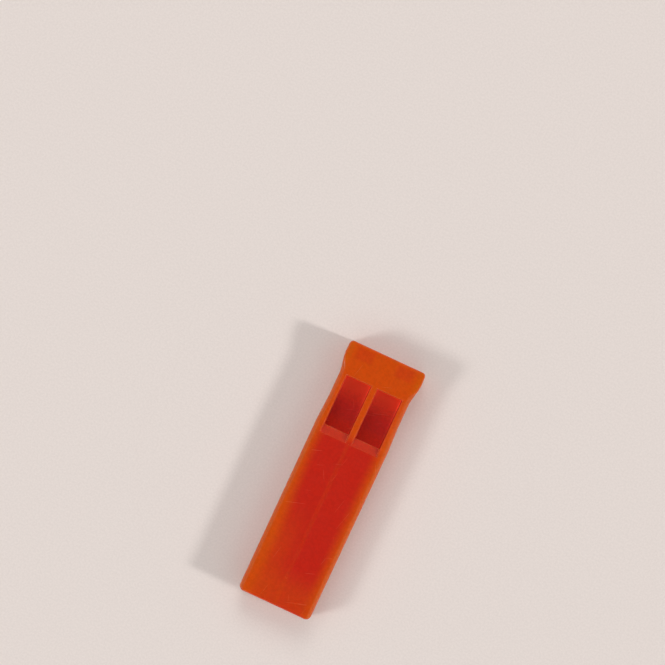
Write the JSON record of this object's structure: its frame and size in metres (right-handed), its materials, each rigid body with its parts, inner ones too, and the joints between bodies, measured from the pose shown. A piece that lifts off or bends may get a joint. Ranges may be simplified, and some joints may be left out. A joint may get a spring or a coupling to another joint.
{
  "type": "safety whistle",
  "caption": "Flat pea-less whistle with side-by-side chambers, windows with bevelled labium edges, a flared mouthpiece and a cross hole for a cord at the tail.",
  "frame": {"origin": "under the middle of the whistle, on the surface that its underside lies on", "axes": "+Y along the whistle towards the mouthpiece, +Z out of the face with the windows, +X to the right when the mouthpiece points away"},
  "size_m": [0.022, 0.072, 0.009],
  "materials": {
    "casing_plastic": "translucent orange-red moulded plastic, satin gloss",
    "insert_plastic": "the same translucent plastic in the solid inserts, where it looks more orange"
  },
  "bodies": {
    "root": {"casing": "casing_plastic", "windway_block": "insert_plastic", "end_plug": "insert_plastic"}
  },
  "joints": []
}
